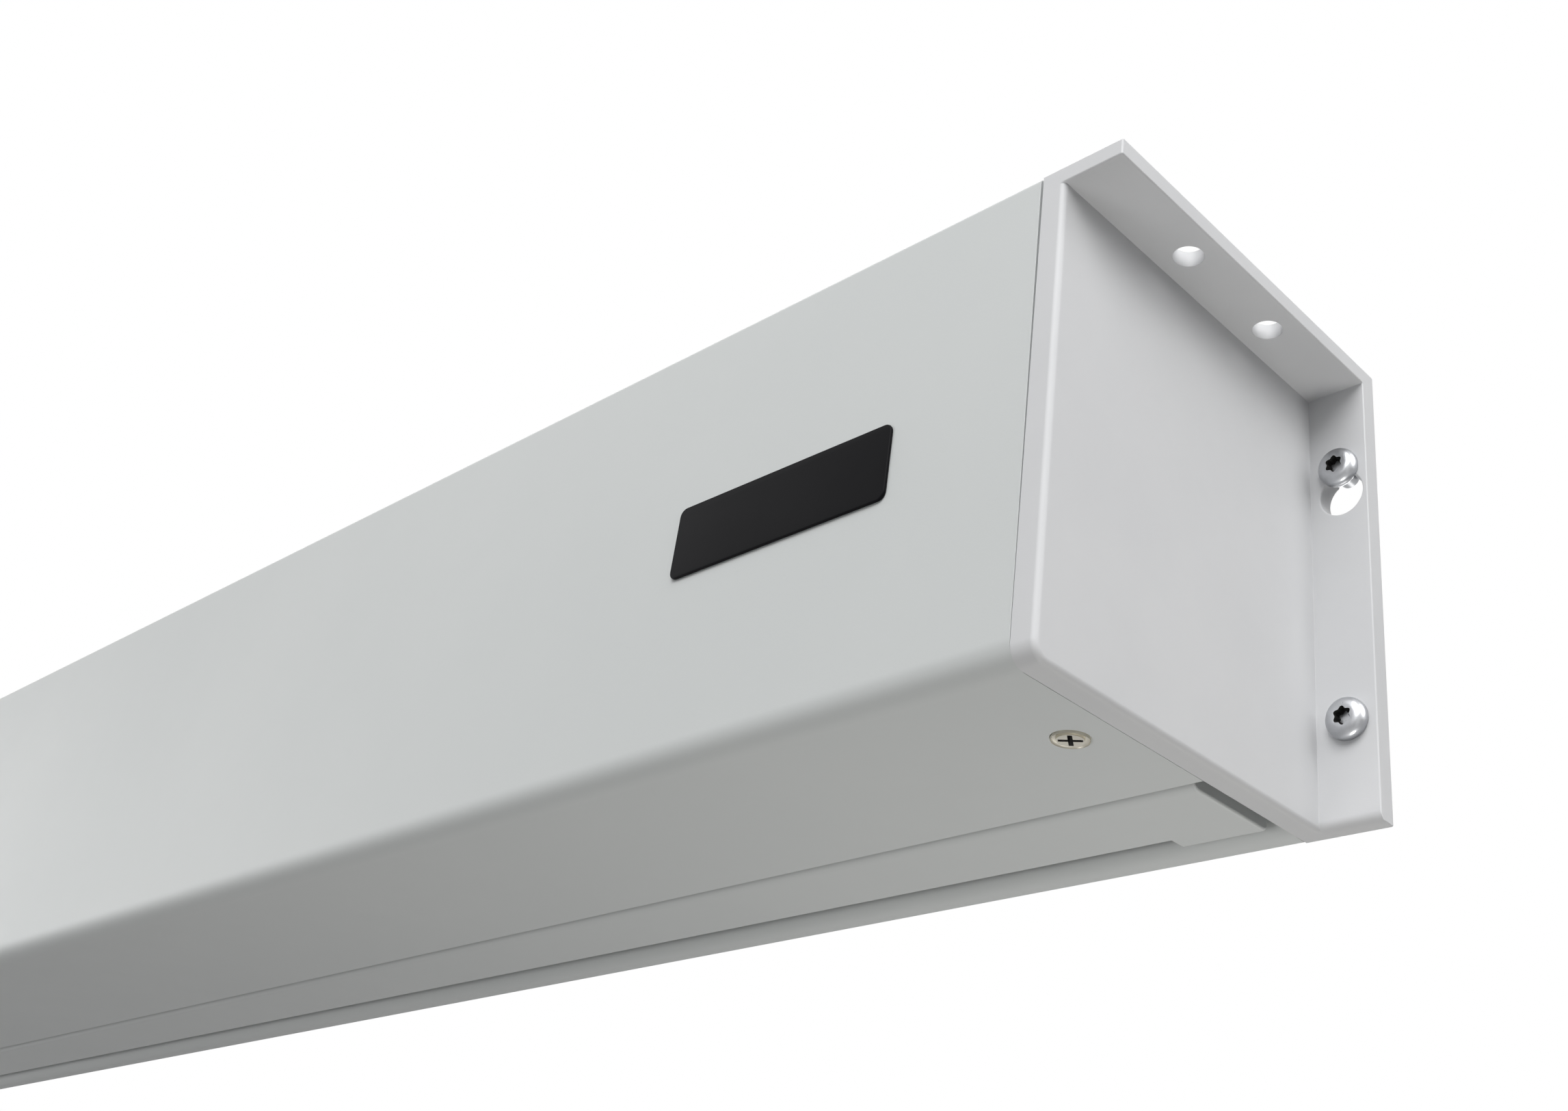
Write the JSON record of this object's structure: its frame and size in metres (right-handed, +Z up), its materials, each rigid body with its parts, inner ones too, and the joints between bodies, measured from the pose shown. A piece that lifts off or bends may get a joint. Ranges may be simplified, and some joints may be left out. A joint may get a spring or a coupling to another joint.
{
  "type": "motorized projector screen",
  "caption": "Wall or ceiling hung motorized projector screen: a box case with end caps, a motor driven roller, white cloth and a weight bar that comes down through the slot.",
  "frame": {"origin": "middle of the case's rear face, in the plane that lies against the wall", "axes": "+X along the case towards its right end as seen from the room, +Y into the wall, +Z up"},
  "size_m": [1.9884, 0.0995, 0.11],
  "materials": {
    "case_coat": "satin white powder coat over extruded aluminium, very slightly green",
    "cap_moulding": "smooth satin moulded plastic, cooler white than the case",
    "cap_screw_nickel": "nickel plated, slightly warm",
    "screw_zinc": "bright zinc plated",
    "bracket_zinc": "zinc plated sheet and bar",
    "motor_steel": "plain steel tube",
    "clip_steel": "spring steel",
    "tube_aluminium": "mill finish extrusion",
    "screen_cloth": "matt white projection cloth with black borders and a dark back",
    "black_plastic": "black nylon",
    "white_nylon": "natural nylon",
    "black_rubber": "matt black rubber",
    "stator_winding": "lacquered copper winding in a steel core",
    "red_plastic": "red adjuster",
    "amber_plastic": "amber adjuster",
    "plate_dark": "dark satin plate, blank"
  },
  "bodies": {
    "case": {"case_profile": "case_coat", "end_cap_right": "cap_moulding", "end_cap_left": "cap_moulding", "cap_screw_right_lower": "cap_screw_nickel", "cap_screw_right_upper": "cap_screw_nickel", "cap_screw_left_lower": "cap_screw_nickel", "cap_screw_left_upper": "cap_screw_nickel", "wall_screw_right_lower": "screw_zinc", "wall_screw_right_upper": "screw_zinc", "wall_screw_left_lower": "screw_zinc", "wall_screw_left_upper": "screw_zinc", "bearing_bracket": "bracket_zinc", "motor_bracket": "bracket_zinc", "bracket_screw_right_1": "screw_zinc", "bracket_screw_right_2": "screw_zinc", "bracket_screw_right_3": "screw_zinc", "bracket_screw_right_4": "screw_zinc", "bracket_screw_left_1": "screw_zinc", "bracket_screw_left_2": "screw_zinc", "bracket_screw_left_3": "screw_zinc", "bracket_screw_left_4": "screw_zinc", "idle_pin": "bracket_zinc", "pin_clip": "clip_steel", "motor_head": "black_plastic", "motor_tube": "motor_steel", "motor_nose": "black_plastic", "run_capacitor": "white_nylon", "motor_stator": "stator_winding", "motor_brake": "motor_steel", "gearbox": "motor_steel", "cable_grommet": "black_rubber", "terminal_block": "black_plastic", "terminal_screw_1": "clip_steel", "terminal_screw_2": "clip_steel", "terminal_screw_3": "clip_steel", "motor_lead": "black_rubber", "nameplate": "plate_dark", "screen_sheet": "screen_cloth"},
    "roller": {"roller_tube": "tube_aluminium", "tube_keder": "black_plastic", "screen_roll": "screen_cloth", "idle_plug": "black_plastic", "idle_bush": "white_nylon", "crown_ring": "white_nylon", "drive_wheel": "white_nylon", "output_shaft": "bracket_zinc", "shaft_clip": "clip_steel"},
    "weight_bar": {"bar_profile": "case_coat", "bar_cap_right": "cap_moulding", "bar_cap_left": "cap_moulding", "ballast_rod": "bracket_zinc", "bar_keder": "black_plastic"},
    "upper_limit": {"upper_limit_screw": "red_plastic"},
    "lower_limit": {"lower_limit_screw": "amber_plastic"}
  },
  "joints": [
    {"name": "roller_spin", "type": "hinge", "parent": "case", "child": "roller", "pos_m": [0, -0.05912, 0.01499], "axis": [-1, 0, 0], "range_deg": [0, 2299]},
    {"name": "screen_drop", "type": "slide", "parent": "case", "child": "weight_bar", "axis": [0, 0, -1], "range_m": [0, 1.2925], "deforming": ["screen_sheet"]},
    {"name": "upper_limit_turn", "type": "hinge", "parent": "case", "child": "upper_limit", "pos_m": [-0.962, -0.05572, -0.0155], "axis": [0, 0, 1], "continuous": true},
    {"name": "lower_limit_turn", "type": "hinge", "parent": "case", "child": "lower_limit", "pos_m": [-0.962, -0.04772, -0.0155], "axis": [0, 0, 1], "continuous": true}
  ],
  "couplings": [
    {"joint": "screen_drop", "follows": "roller_spin", "m_per_rad": 0.0322}
  ]
}
